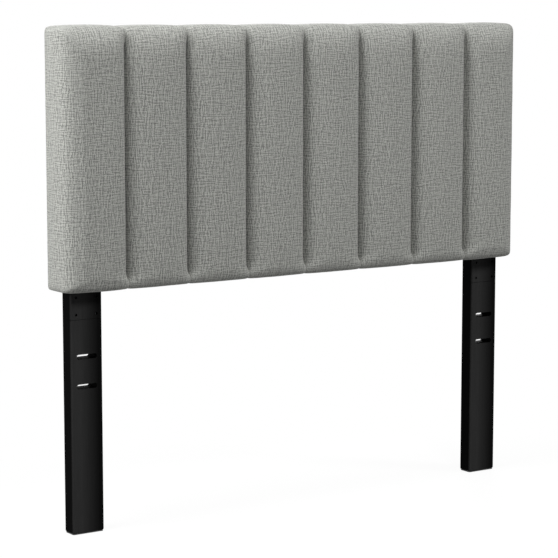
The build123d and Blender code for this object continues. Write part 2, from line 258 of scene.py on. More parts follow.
# %% The finishes, by the record's names
finishes = {
    "upholstery_fabric": cloth,
    # Slab foam: pale cream, with open cells that take the light softly
    "polyurethane_foam": solid_finish(
        "polyurethane_slab_foam", "#efe6cc", "#ddd0ab", (1.6 * mm,) * 3, 0.4 * mm, Roughness=0.95
    ),
    # Birch plywood with a sanded face: long level figure
    "plywood": solid_finish(
        "birch_plywood_sanded", "#d9b98a", "#c39a66", (90 * mm, 1.5 * mm, 7 * mm), 0.1 * mm,
        Roughness=0.6,
    ),
    # Planed pine: growth rings some 5 mm apart, drawn out along the rail
    "pine": solid_finish(
        "pine_planed", "#e2c08c", "#c4925a", (120 * mm, 5 * mm, 5 * mm), 0.15 * mm, Roughness=0.55
    ),
    # Turned beech dowels: short dark flecks
    "beech": solid_finish(
        "beech_turned", "#d8a877", "#b98456", (9 * mm, 0.9 * mm, 0.9 * mm), 0.05 * mm,
        Roughness=0.5,
    ),
    # Black paint on pine: the grain just telegraphs through, up the leg, and there is no highlight;
    # painted shade is added to it further on
    "black_painted_wood": solid_finish(
        "pine_satin_black_with_painted_shade", "#363636", "#313131", (2.4 * mm, 2.4 * mm, 70 * mm), 0.12 * mm,
        Roughness=0.6, Specular_IOR_Level=0.008,
    ),
    # Spun-bonded polypropylene: black felted cloth with pale flecks of fibre
    "dust_cover_cloth": solid_finish(
        "spunbond_polypropylene_black", "#2c2d2e", "#161617", (1.8 * mm,) * 3, 0.2 * mm,
        Roughness=0.9,
    ),
    # Zinc-plated steel: grey with a slight blue cast and a soft spangle
    "zinc_plated_steel": solid_finish(
        "steel_zinc_plated", "#cfd3d6", "#a9aeb3", (3 * mm,) * 3, 0.02 * mm,
        Metallic=1.0, Roughness=0.36,
    ),
    # Blackened steel: dark oxide, a little oily
    "black_steel": solid_finish(
        "steel_black_oxide", "#3b3c3e", "#242527", (2 * mm,) * 3, 0.03 * mm,
        Metallic=1.0, Roughness=0.42,
    ),
    # Moulded nylon: matt black
    "black_nylon": solid_finish(
        "nylon_moulded_black", "#1f1f20", "#151516", (0.9 * mm,) * 3, 0.05 * mm, Roughness=0.55
    ),
}

# %% [markdown]
# ## Painted shade on the legs
# The legs' black paint gets painted shade in two places. The narrow faces and the insides of the
# slots are painted deep black, and on the broad faces the dark grey is painted darker, to black,
# from a third of their width on. One material does both. The distance across the leg comes from
# the Object coordinate, counted anew from each leg's edge, and the narrow faces are found by
# their normal, so the painted shade stays put from every side.

# %% Painted shade on the legs
# Painted shade on the broad faces: where it starts and where it is whole, and its strongest black
painted_shade_from, painted_shade_to, painted_shade_most = 0.3, 0.87, 0.88  # shares of the leg's width, and of the black
leg_left, leg_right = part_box("lower_leg_left"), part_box("lower_leg_right")
paint = finishes["black_painted_wood"].node_tree
paint_shader = next(one for one in paint.nodes if one.type == "BSDF_PRINCIPLED")
paint_colour = paint_shader.inputs["Base Color"].links[0].from_socket
paint_place = add_node(paint, "ShaderNodeTexCoord")
paint_x = add_node(paint, "ShaderNodeSeparateXYZ", links={"Vector": paint_place.outputs["Object"]})
from_leg = add_node(
    paint, "ShaderNodeMath", {1: -leg_left[0].x}, {0: paint_x.outputs["X"]}, operation="ADD",
)
across_leg = add_node(
    paint, "ShaderNodeMath", {1: leg_right[0].x - leg_left[0].x}, {0: from_leg.outputs["Value"]},
    operation="FLOORED_MODULO",
)
leg_width = leg_left[1].x - leg_left[0].x
# Painted shade: the broad faces are painted darker towards black across the leg, from a third of
# its width on
broad_face_painted_shade = add_node(
    paint, "ShaderNodeMapRange",
    {"From Min": painted_shade_from * leg_width, "From Max": painted_shade_to * leg_width, "To Min": 0.0,
     "To Max": painted_shade_most},
    {"Value": across_leg.outputs["Value"]},
)
paint_normal = add_node(
    paint, "ShaderNodeSeparateXYZ", links={"Vector": paint_place.outputs["Normal"]}
)
facing = add_node(
    paint, "ShaderNodeMath", links={0: paint_normal.outputs["Y"]}, operation="ABSOLUTE"
)
# Painted shade: faces whose normal leaves the Y axis, which are the narrow faces and the slots'
# insides, are painted deep black
narrow_faces_painted_shade = add_node(
    paint, "ShaderNodeMath", {0: 1.0}, {1: facing.outputs["Value"]}, operation="SUBTRACT"
)
painted_shade_share = add_node(
    paint, "ShaderNodeMath", links={0: narrow_faces_painted_shade.outputs["Value"], 1: broad_face_painted_shade.outputs["Result"]},
    operation="MAXIMUM",
)
# 040404 is the black of the painted shade
paint_with_painted_shade = add_node(
    paint, "ShaderNodeMix", {"B": linear("#040404")},
    {"Factor": painted_shade_share.outputs["Value"], "A": paint_colour}, data_type="RGBA",
)
paint.links.new(paint_with_painted_shade.outputs["Result"], paint_shader.inputs["Base Color"])
print("paint fades over", round((painted_shade_to - painted_shade_from) * leg_width / mm, 1), "mm of the leg's width")

# %% Give each CAD piece its finish
for subpart in frame["record"]["subparts"]:
    node = frame["nodes"][subpart["node"]]
    node.data.materials.clear()
    node.data.materials.append(finishes[subpart["material_slot"]])
print("finishes:", len(finishes))

# %% [markdown]
# ## The padding: one channel as a surface
# Each channel is a strip of cloth sewn to its neighbours, drawn over a foam rib and round the
# panel's edges to the back. It could be sculpted, but a strip like this is a profile carried
# along a path: the profile runs across the channel, with a quarter-round shoulder down to each
# seam, and the path runs from the back over the top, down the front and under the bottom.

# %% Measures of the padding
channel_count = 8
cloth_lift = Vector((0, 0, 2 * mm))  # the photograph has the cloth this much above the CAD padding
panel_left, front_y, panel_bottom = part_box("channel_cover_1")[0] + cloth_lift
panel_right, cover_back_y, panel_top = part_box("channel_cover_8")[1] + cloth_lift
channel_pitch = (panel_right - panel_left) / channel_count
end_half = channel_pitch / 2
strip_half = end_half - 0.03 * mm  # a hair less, so that neighbours don't share a face
cover_depth = cover_back_y - front_y
cloth_thickness = 1.5 * mm
shoulder_radius = 36 * mm  # of the quarter round down to a seam
crown_rise = 2 * mm  # how far a channel's middle stands above the start of its shoulders
# Each edge is a quarter of an ellipse: how far in over the face, and how far back it goes.
top_round = (72 * mm, 36 * mm)
side_round = (50 * mm, 41 * mm)
bottom_round = (28 * mm, 24 * mm)
back_radius = 6 * mm  # of the fold onto the back
cloth_return = 40 * mm  # how far the cloth comes in over the back
top_corner, bottom_corner = 12 * mm, 6 * mm  # radii of the outline's corners, seen from the front
# A groove: the share of its depth that is left at the edge, and how far from there it is whole.
top_groove = (0.16, 50 * mm)
bottom_groove = (0.03, 45 * mm)
print("channel pitch:", round(channel_pitch / mm, 2), "mm")
print("padding's depth:", round(cover_depth / mm, 1), "mm")


# %% Across a channel
def across_half(inset, shoulder_steps, face_steps, flange):
    """Half a channel's profile from its seam to its middle, as (x, drop, tuck, cloth length).

    Shoulder: x = R (1 - cos t) and drop = R (1 - sin t) for t from 0 at the seam to 90 degrees.
    Face: a parabola that drops by the crown's rise where the shoulder starts.
    With a flange, one more column is tucked in behind the seam by the flange's width.
    """
    radius = shoulder_radius - inset
    half = strip_half - inset
    t = np.linspace(0, np.pi / 2, shoulder_steps + 1)
    face_x = np.linspace(radius - half, 0, face_steps + 1)[1:]
    x = np.concatenate([-half + radius * (1 - np.cos(t)), face_x])
    crown = crown_rise * (face_x / (radius - half)) ** 2
    drop = np.concatenate([radius * (1 - np.sin(t)) + crown_rise, crown])
    length = np.concatenate([radius - half - radius * (np.pi / 2 - t), face_x])
    profile = np.stack([x, drop, x * 0, length])
    if flange:
        behind_seam = profile[:, :1] + np.array([[0], [0], [flange], [-flange]])
        profile = np.concatenate([behind_seam, profile], axis=1)
    return profile


print("cloth across a channel:", round(2 * across_half(0, 9, 8, 0)[3, 0] / -mm), "mm")


# %% [markdown]
# The path round an edge is a quarter round, a straight run to the back, a small round there and
# the cloth that returns onto the back. Inward distance and depth are kept as a share of the
# edge's radius and a fixed part, so that one path serves the top, the sides and the bottom.


# %% Round an edge
back_round_steps, return_steps = 3, 5


def edge_path(inset, round_steps, wall_steps, with_return):
    """Rows round an edge, as shares of its half axes P and Q and as fixed parts.

    inward = inward_share P + inward_fixed, and depth = depth_share Q + depth_fixed. P and Q
    are those of the edge's quarter ellipse. Round: shares 1 - sin a and 1 - cos a. Wall: depth
    goes from Q to the back's round. Back: a round of its own radius, then the return. turn is a
    on the round and 90 degrees after it; back goes from 0 to 1 on the back's round.
    """
    corner = back_radius - inset
    depth = cover_depth - 2 * inset
    a = np.linspace(0, np.pi / 2, round_steps + 1)
    run = np.linspace(0, 1, wall_steps + 1)[1:]
    b = np.linspace(0, np.pi / 2, back_round_steps + 1)[1:]
    tail = np.linspace(corner, cloth_return, return_steps + 1)[1:] if with_return else np.zeros(0)
    zero_a, zero_run, zero_b, zero_tail = a * 0, run * 0, b * 0, tail * 0
    rows = {
        "inward_share": [1 - np.sin(a), zero_run, zero_b, zero_tail],
        "inward_fixed": [zero_a, zero_run, corner * (1 - np.cos(b)), tail],
        "depth_share": [1 - np.cos(a), 1 - run, zero_b, zero_tail],
        "depth_fixed": [
            zero_a, (depth - corner) * run, depth - corner * (1 - np.sin(b)), zero_tail + depth
        ],
        "turn": [a, zero_run + np.pi / 2, zero_b + np.pi / 2, zero_tail + np.pi / 2],
        "back": [zero_a, zero_run, b * 2 / np.pi, zero_tail + 1],
    }
    return {name: np.concatenate(parts) for name, parts in rows.items()}


print("rows round an edge:", len(edge_path(0, 10, 9, True)["turn"]))


def path_length(inward, depth):
    """Cloth length along a path, as the running sum of its steps."""
    return np.concatenate([[0], np.cumsum(np.hypot(np.diff(inward), np.diff(depth)))])


# %% [markdown]
# In a groove the cloth is pulled back. On the face it goes straight back, over the top it
# goes in towards the panel and is shallow, and under the bottom the ribs close up, so that only
# the seam is left.


# %% How deep a groove is
def groove_share(distance, groove):
    """Share of a groove's depth at a distance from the edge: a smooth step from the least to 1."""
    least, whole_at = groove
    step = np.clip(distance / whole_at, 0, 1)
    return least + (1 - least) * step**2 * (3 - 2 * step)


print("groove 25 mm below the top:", round(float(groove_share(25 * mm, top_groove)), 2), "of it")


# %% The rows of a channel, from the back over the top to the back again
def channel_rows(inset, edge, face_steps, block):
    """Height, depth, outward direction, pull and cloth length of each row.

    block holds the least inward distance and depth, which is where foam ends on the boards.
    """
    top_z, bottom_z = panel_top - inset, panel_bottom + inset
    face_top, face_bottom = top_z - top_round[0] + inset, bottom_z + bottom_round[0] - inset
    face_z = np.linspace(face_top, face_bottom, face_steps + 1)
    rows = []
    for half_axes, base, sign, groove in (
        (top_round, top_z, -1, top_groove), (bottom_round, bottom_z, 1, bottom_groove)
    ):
        along, deep = half_axes[0] - inset, half_axes[1] - inset
        inward = np.maximum(edge["inward_share"] * along + edge["inward_fixed"], block[0])
        depth = np.maximum(edge["depth_share"] * deep + edge["depth_fixed"], block[1])
        turn, fade = edge["turn"], 1 - edge["back"]
        out = np.sin(turn) * np.cos(edge["back"] * np.pi / 2)
        ahead = np.cos(turn) - np.sin(edge["back"] * np.pi / 2)
        pull = groove_share(inward, groove) * fade
        back, down = pull * np.cos(turn), pull * np.sin(turn)
        rows.append(np.stack([
            base + sign * inward, depth, -sign * out, ahead, back, sign * down,
            path_length(inward, depth),
        ]))
    inner_z = face_z[1:-1]
    face = np.zeros((7, len(inner_z)))
    face[0], face[1], face[3] = inner_z, block[1], 1
    from_top, from_bottom = top_z - inner_z, inner_z - bottom_z
    face[4] = groove_share(from_top, top_groove) * groove_share(from_bottom, bottom_groove)
    face[6] = face_z[0] - inner_z
    rows[0][6] *= -1
    rows[1][6] += face_z[0] - face_z[-1]
    return np.concatenate([rows[0][:, ::-1], face, rows[1]], axis=1)


# %% Carry the profile along the rows
pinch_width = 3 * mm  # the stitches pinch the cloth over this much on either side of a seam


def strip_grid(across, rows, inset, pinch):
    """A profile carried along rows: base + pull x drop - outward x (tuck + pinch by the seam)."""
    x, drop, tuck, length = across[:, None, :]
    z, depth, out, ahead, back, down, path = rows[:, :, None]
    from_seam = strip_half - inset - np.abs(x)
    valley = tuck + pinch * np.exp(-((from_seam / pinch_width) ** 2))
    points = np.stack([
        x + z * 0,
        front_y + inset + depth + back * drop + ahead * valley,
        z + down * drop - out * valley,
    ], axis=-1)
    return points, np.stack([length + path * 0, -path + length * 0], axis=-1)


# %% [markdown]
# The end channels also wrap round the panel's side, and their two outer corners are where
# cloth is hard to model: three faces meet there. A rim carried round the panel's outline solves
# it, because the outline has round corners, and the rim needs only its inner and outer line.
# The rim's round is deeper at the side than at the top and bottom. It changes from one to the
# other on the level stretches, beside the corners.

# %% The panel's outline
top_bend, bottom_bend = 0.6, 0.4  # where that change starts and ends, as shares of the stretches


def outline(walk, inset):
    """The panel's half outline walked from the top's middle: level, a turn, down, a turn, level."""
    half, high = end_half - inset, panel_top - panel_bottom - 2 * inset
    first, second = top_corner - inset, bottom_corner - inset
    straight, turned = high - first - second, np.pi / 2
    marks = np.cumsum([0, half - first, first * turned, straight, second * turned, half - second])
    level, turn, fall, close, home = (
        np.clip(walk, marks[i], marks[i + 1]) - marks[i] for i in range(5)
    )
    turn, close = turn / first, close / second
    x = level + first * np.sin(turn) - second * (1 - np.cos(close)) - home
    z = panel_top - inset - first * (1 - np.cos(turn)) - fall - second * np.sin(close)
    return x, z, marks


print("half the outline:", round(outline(np.zeros(1), 0)[2][-1] / mm), "mm")


# %% The end channel's outer half: a flat face and a rim round the outline
def end_grids(inset, edge, face_steps, side_steps, block):
    """The face's grid and the rim's grid, each as (points, cloth place)."""
    (top, top_deep), (side, side_deep), (bottom, bottom_deep) = (
        (along - inset, deep - inset) for along, deep in (top_round, side_round, bottom_round)
    )
    reach = end_half - inset - side
    face_z = np.linspace(panel_top - inset - top, panel_bottom + inset + bottom, face_steps + 1)
    x, z = np.meshgrid(np.linspace(0, reach, side_steps + 1), face_z)
    face = np.stack([x, z * 0 + front_y + inset + block[1], z], axis=-1)
    low_row = panel_top - inset - top
    face_cloth = np.stack([x, z - low_row], axis=-1)
    station = np.arange(2 * side_steps + face_steps + 1)[:, None]
    corners = [0, side_steps, side_steps + face_steps, station[-1, 0]]
    in_x = np.interp(station, corners, [0, reach, reach, 0])
    in_z = np.interp(station, corners, [face_z[0], face_z[0], face_z[-1], face_z[-1]])
    marks = outline(np.zeros(1), inset)[2]
    quarter = [(top_corner - inset) * np.pi / 4, (bottom_corner - inset) * np.pi / 4]
    walk = np.interp(station, corners, [0, marks[1] + quarter[0], marks[3] + quarter[1], marks[5]])
    out_x, out_z, _ = outline(walk, inset)
    bend = [
        0, top_bend * side_steps, *corners[1:3], corners[2] + bottom_bend * side_steps, corners[3]
    ]
    deep = np.interp(station, bend, np.repeat([top_deep, side_deep, bottom_deep], 2))
    high = np.where(station < side_steps + face_steps / 2, top, bottom)
    fixed, share = edge["inward_fixed"][None, :], edge["inward_share"][None, :]
    from_x = np.maximum(share * side + fixed, block[0]) / side
    from_z = np.maximum(share * high + fixed, block[0]) / high
    depth = np.maximum(edge["depth_share"] * deep + edge["depth_fixed"], block[1])
    rim = np.stack([
        out_x + (in_x - out_x) * from_x,
        front_y + inset + depth,
        out_z + (in_z - out_z) * from_z,
    ], axis=-1)
    steps = np.linalg.norm(np.diff(rim, axis=1), axis=-1)
    length = np.concatenate([steps[:, :1] * 0, np.cumsum(steps, axis=1)], axis=1)
    beside = (station >= side_steps) & (station < side_steps + face_steps)
    above = station < side_steps
    cloth_x = np.where(beside, in_x + length, rim[..., 0])
    cloth_z = np.where(beside, rim[..., 2], np.where(above, in_z + length, in_z - length)) - low_row
    return (face, face_cloth), (rim, np.stack([cloth_x, cloth_z], axis=-1))


# %% [markdown]
# The grids of one channel share their edges, so they are welded: points that fall in the same
# hundredth of a millimetre become one. The place on the cloth stays with each face's corner,
# because at a mitre two pieces of cloth meet at the same point.


# %% Weld grids into one mesh
weld_cell = 0.01 * mm
weld_offset = 3.3e-6  # metres; it keeps round measures off the borders between two cells


def weld(grids, lining=None):
    """Points, quads and cloth places with merged points, and the lining's points in their order."""
    points = np.concatenate([g[0].reshape(-1, 3) for g in grids])
    cloth_place = np.concatenate([g[1].reshape(-1, 2) for g in grids])
    quads, start = [], 0
    for grid in grids:
        rows, columns = grid[0].shape[:2]
        index = start + np.arange(rows * columns).reshape(rows, columns)
        around = [index[:-1, :-1], index[1:, :-1], index[1:, 1:], index[:-1, 1:]]
        quads.append(np.stack(around, -1).reshape(-1, 4))
        start += rows * columns
    quads = np.concatenate(quads)
    key = np.round((points + weld_offset) / weld_cell).astype(np.int64)
    _, first, merged = np.unique(key, axis=0, return_index=True, return_inverse=True)
    if lining is None:
        lined = points
    else:
        lined = np.concatenate([g[0].reshape(-1, 3) for g in lining])
    return points[first], merged.reshape(-1)[quads], cloth_place[quads], lined[first]


def rim_edges(quads):
    """The directed edges that only one quad has, which is the sheet's border."""
    edges = np.concatenate([quads[:, [i, (i + 1) % 4]] for i in range(4)])
    either_way = np.sort(edges, axis=1)
    _, inverse, count = np.unique(either_way, axis=0, return_inverse=True, return_counts=True)
    return edges[count[inverse.reshape(-1)] == 1]


def closed_shell(front, behind, quads):
    """A closed mesh of two sheets with the same quads: the back one turned, and a band round."""
    border, count = rim_edges(quads), len(front)
    band = np.stack([border[:, 1], border[:, 0], border[:, 0] + count, border[:, 1] + count], -1)
    return np.concatenate([front, behind]), np.concatenate([quads, quads[:, ::-1] + count, band])


# %% A mesh object from arrays
def new_object(name, points, quads, cloth_place=None):
    """A smooth mesh object from arrays, with its cloth places as a UV map."""
    mesh = bpy.data.meshes.new(name)
    mesh.from_pydata(points.tolist(), [], quads.tolist())
    mesh.polygons.foreach_set("use_smooth", np.ones(len(quads), bool))
    if cloth_place is not None:
        layer = mesh.uv_layers.new(name="cloth")
        layer.data.foreach_set("uv", cloth_place.reshape(-1).astype(np.float32))
    made = bpy.data.objects.new(name, mesh)
    bpy.context.scene.collection.objects.link(made)
    return made


# %% Put a channel together
def channel_grids(kind, inset, fine, pinch=0.0, flange=0.0, with_return=True, block=(0.0, 0.0)):
    """The grids of an inner channel or of the right end one, about x = 0; fine counts the steps."""
    shoulder_steps, half_face, round_steps, wall_steps, face_steps, side_steps = fine
    edge = edge_path(inset, round_steps, wall_steps, with_return)
    rows = channel_rows(inset, edge, face_steps, block)
    half = across_half(inset, shoulder_steps, half_face, flange)
    if block[1]:
        half[1] = 0
    if kind == "inner":
        other = half[:, -2::-1] * np.array([[-1], [1], [1], [-1]])
        return [strip_grid(np.concatenate([half, other], axis=1), rows, inset, pinch)]
    outer_half = end_grids(inset, edge, face_steps, side_steps, block)
    return [strip_grid(half, rows, inset, pinch), *outer_half]


# %% [markdown]
# ## Swelling the covers
# Foam pushes its cover out and the seams hold it in. A cloth simulation does the same: the
# sheet and a fixed sheet behind it make a closed bag, the seams and the cloth on the back are
# pinned, and pressure fills it for 20 frames. Firm foam moves little, so a point may go no
# further than a few millimetres. All inner channels are cut alike, so one is simulated, and the
# right end one, which the left one mirrors.


# %% Which way is out
def vertex_normals(points, quads):
    """Mean normal of the quads round each point, from the cross product of their diagonals."""
    corners = points[quads]
    across = np.cross(corners[:, 2] - corners[:, 0], corners[:, 3] - corners[:, 1])
    normals = np.zeros_like(points)
    for i in range(4):
        np.add.at(normals, quads[:, i], across)
    return normals / np.maximum(np.linalg.norm(normals, axis=1, keepdims=True), 1e-12)


# %% Cloth simulation
swell_cap = 3.0 * mm
swell_frames = 20
bag_back = 12 * mm  # the fixed sheet lies about this far before the back
bag_flatness = 0.8  # and has this share of the cover's relief taken out


def swell(points, quads, held):
    """Points after a pressed cloth simulation; held is 1 where the cloth is pinned."""
    count = len(points)
    behind_y = points[:, 1] * (1 - bag_flatness) + bag_flatness * (cover_back_y - bag_back)
    behind = np.stack([points[:, 0], behind_y, points[:, 2]], -1)
    bag = new_object("bag", *closed_shell(points, behind, quads))
    pins = bag.vertex_groups.new(name="pins")
    for level in np.unique(held):
        pins.add(np.flatnonzero(held == level).tolist(), float(level), "REPLACE")
    pins.add(list(range(count, 2 * count)), 1.0, "REPLACE")
    cloth_modifier = bag.modifiers.new("cloth", "CLOTH")
    settings = cloth_modifier.settings
    settings.quality = 6
    settings.mass = 0.3
    settings.tension_stiffness = settings.compression_stiffness = 25
    settings.shear_stiffness = 12
    settings.bending_stiffness = 1.5
    settings.use_pressure = True
    settings.uniform_pressure_force = 4.0
    settings.vertex_group_mass = "pins"
    settings.effector_weights.gravity = 0
    cloth_modifier.collision_settings.use_collision = False
    cloth_modifier.point_cache.frame_end = swell_frames
    scene = bpy.context.scene
    for frame_number in range(1, swell_frames + 1):
        scene.frame_set(frame_number)
    swollen = bag.evaluated_get(bpy.context.evaluated_depsgraph_get()).data
    moved = np.empty(2 * count * 3)
    swollen.vertices.foreach_get("co", moved)
    step = moved.reshape(-1, 3)[:count] - points
    normals = vertex_normals(points, quads)
    step = normals * np.maximum((step * normals).sum(1, keepdims=True), 0)
    scene.frame_set(1)
    bpy.data.objects.remove(bag)
    size = np.linalg.norm(step, axis=1, keepdims=True)
    capped = swell_cap * np.tanh(size / swell_cap)
    print("swell in mm: mean", round(size.mean() / mm, 2), "most", round(size.max() / mm, 2),
          "kept", round(capped.max() / mm, 2))
    return points + step * capped / np.maximum(size, 1e-9)


# %% [markdown]
# The swollen sheet gets slow waves of three tenths of a millimetre, because drawn cloth is never
# quite even, one subdivision to round it off, and its thickness. A leg post comes up through
# each end channel, so a square opening is cut there.

# %% Slow waves
wave_height = 0.3 * mm
wave_count = 4
wave_lengths = (60, 160)  # the shortest and the longest, in mm


def waves(points, seed):
    """Mean of slow sine waves, each with a seeded direction, length and start."""
    rng = np.random.default_rng(seed)
    total = np.zeros(len(points))
    for _ in range(wave_count):
        length = rng.uniform(*wave_lengths) * mm
        direction = rng.normal(size=3)
        direction /= np.linalg.norm(direction)
        total += np.sin(points @ direction * 2 * np.pi / length + rng.uniform(0, 2 * np.pi))
    return total / wave_count


# %% Swell the two kinds of channel
# Steps in a shoulder, half a face, a round, a wall, down the face, and to the outer side
cover_fine = (9, 8, 10, 9, 84, 6)
seam_pinch = 1.2 * mm  # how far the stitches draw the cloth in
seam_flange = 3 * mm  # of cloth behind a seam
seam_hold, back_hold = 6 * mm, 9 * mm  # how far from a seam and from the back the cloth is held
hold_strength = 1.2  # above 1, so that the cloth right beside a seam is held outright
sheet_kinds = {}


def channel_kind(index):
    """The first and last channels also wrap round a side."""
    return "end" if index in (0, channel_count - 1) else "inner"


for kind in ("inner", "end"):
    grids = channel_grids(kind, 0, cover_fine, seam_pinch, seam_flange)
    points, quads, cloth_place, _ = weld(grids)
    from_seam = strip_half - np.abs(points[:, 0])
    if kind == "end":
        from_seam = strip_half + points[:, 0]
    from_back = cover_back_y - points[:, 1]
    held_by_seam = np.exp(-np.maximum(from_seam, 0) / seam_hold)
    held_by_back = np.exp(-np.maximum(from_back, 0) / back_hold)
    held = np.round(np.clip(np.maximum(held_by_seam, held_by_back) * hold_strength, 0, 1), 2)
    points = swell(points, quads, held)
    sheet_kinds[kind] = (points, quads, cloth_place, 1 - held)
    print(kind, "channel:", len(points), "points,", len(quads), "quads")


# %% Apply modifiers
def evaluated_mesh(made):
    """Apply an object's modifiers and keep the result as its mesh."""
    graph = bpy.context.evaluated_depsgraph_get()
    mesh = bpy.data.meshes.new_from_object(made.evaluated_get(graph))
    made.modifiers.clear()
    made.data = mesh


# %% Openings for the leg posts
leg_gap = 1 * mm
leg_opening_height = 12 * mm  # above the panel's bottom, which is through the cloth and the foam


def leg_cutter(hand):
    """A tall block with the leg's section and a little room round it."""
    low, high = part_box(f"lower_leg_{hand}")
    x_sides = [low.x - leg_gap, high.x + leg_gap]
    y_sides = [low.y - leg_gap, high.y + leg_gap]
    ring = np.stack(np.meshgrid(x_sides, y_sides, indexing="ij"), -1).reshape(-1, 2)[[0, 2, 3, 1]]
    levels = (low.z, panel_bottom + leg_opening_height)
    corners = np.concatenate([np.column_stack([ring, np.full(4, level)]) for level in levels])
    quads = np.array([
        [3, 2, 1, 0], [4, 5, 6, 7], [0, 1, 5, 4], [1, 2, 6, 5], [2, 3, 7, 6], [3, 0, 4, 7]
    ])
    return new_object(f"cutter_{hand}", corners, quads)


def open_for_leg(made, hand):
    """Take the leg's section out of a closed mesh: a Boolean keeps it closed."""
    cutter = leg_cutter(hand)
    cut = made.modifiers.new("leg_opening", "BOOLEAN")
    cut.operation = "DIFFERENCE"
    cut.object = cutter
    cut.solver = "EXACT"
    evaluated_mesh(made)
    bpy.data.objects.remove(cutter)


# %% Make the eight covers
cloth_shift = np.array([0.311, 0.173])  # each strip is cut from another place on the roll


def placed(points, quads, index):
    """A channel's points moved to its place; the first channel is the last one's mirror image."""
    middle = panel_left + (index + 0.5) * channel_pitch
    if index == 0:
        return points * [-1, 1, 1] + [middle, 0, 0], quads[:, ::-1]
    return points + [middle, 0, 0], quads


for index in range(channel_count):
    points, quads, cloth_place, free = sheet_kinds[channel_kind(index)]
    place = cloth_place + cloth_shift * index
    points, quads = placed(points, quads, index)
    if index == 0:
        place = (cloth_place * [-1, 1])[:, ::-1]
    ripple = (waves(points, index) * wave_height * free)[:, None]
    rippled = points + vertex_normals(points, quads) * ripple
    cover = new_object(f"padded_cover_{index + 1}", rippled, quads, place)
    smooth = cover.modifiers.new("smooth", "SUBSURF")
    smooth.levels = smooth.render_levels = 1
    smooth.boundary_smooth = "PRESERVE_CORNERS"
    thick = cover.modifiers.new("thickness", "SOLIDIFY")
    thick.thickness = cloth_thickness
    thick.offset = -1
    evaluated_mesh(cover)
    if channel_kind(index) == "end":
        open_for_leg(cover, "left" if index == 0 else "right")
    cover.data.materials.append(cloth)
    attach(cover, "root")
    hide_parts(f"channel_cover_{index + 1}")
print("last cover:", len(cover.data.polygons), "faces")

# %% [markdown]
# ## The foam
# Under each cover is its foam. It has the same form, smaller by the cloth's thickness, and
# stops at the boards. It doesn't show, so it is coarser, but it is closed and fits its place.
# Its back is the same grid, kept clear of the boards. Where the rib runs out, front and back
# fall together, and the points there are merged.

# %% Foam ribs
foam_fine = (7, 4, 8, 3, 30, 4)
foam_front = 40 * mm  # its back lies this far behind its front
foam_edge = 10 * mm  # and its wrap over the panel's edges is this thick
foam_slack = 1 * mm
same_place = 0.02 * mm
sliver_width = 2.2 * mm  # slivers beside a cut opening are up to this wide


def merge_points(made, reach):
    """Merge points nearer than reach, so that collapsed quads go, and close slits they leave."""
    shape = bmesh.new()
    shape.from_mesh(made.data)
    bmesh.ops.remove_doubles(shape, verts=shape.verts, dist=reach)
    bmesh.ops.holes_fill(shape, edges=shape.edges, sides=8)
    bmesh.ops.recalc_face_normals(shape, faces=shape.faces)
    shape.to_mesh(made.data)
    shape.free()


for index in range(channel_count):
    kind = channel_kind(index)
    grids = [
        channel_grids(kind, cloth_thickness + foam_slack, foam_fine, with_return=False, block=block)
        for block in ((0.0, 0.0), (foam_edge, foam_front))
    ]
    outer, quads, _, inner = weld(*grids)
    foam = new_object(f"foam_rib_{index + 1}", *placed(*closed_shell(outer, inner, quads), index))
    merge_points(foam, same_place)
    if kind == "end":
        open_for_leg(foam, "left" if index == 0 else "right")
        merge_points(foam, sliver_width)
    foam.data.materials.append(finishes["polyurethane_foam"])
    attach(foam, "root")
    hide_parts(f"channel_foam_{index + 1}")
print("last foam rib:", len(foam.data.polygons), "faces")

# %% [markdown]
# ## The dust cover
# A black cloth is stapled over the back. It lies on the covers' returns round its border and
# on the board in the middle, so a shallow step shows through it, and it is drawn a little
# scalloped between its staples. It is a rectangle with rounded corners, made by pulling a
# grid's corners in, and its thickness comes from Solidify. It could be simulated too, but a
# cloth that is stapled tight all round hardly moves, so a formula gives the same.

# %% Dust cover
dust_thickness = 0.8 * mm
dust_lies = 0.9 * mm  # its outer face stands this far off the board
dust_corner = 10 * mm
dust_margin = 14 * mm  # from the panel's edge to the cloth's
step_width = 2.5 * mm  # over which it climbs onto the covers' returns
scallop_height, scallop_reach = 0.25 * mm, 18 * mm
slack_height, slack_across, slack_up, slack_start = 0.5 * mm, 150 * mm, 110 * mm, 1.3
dust_low, dust_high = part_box("dust_cover")
staple_gap = channel_pitch / 2
board_back_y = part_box("back_board")[1].y


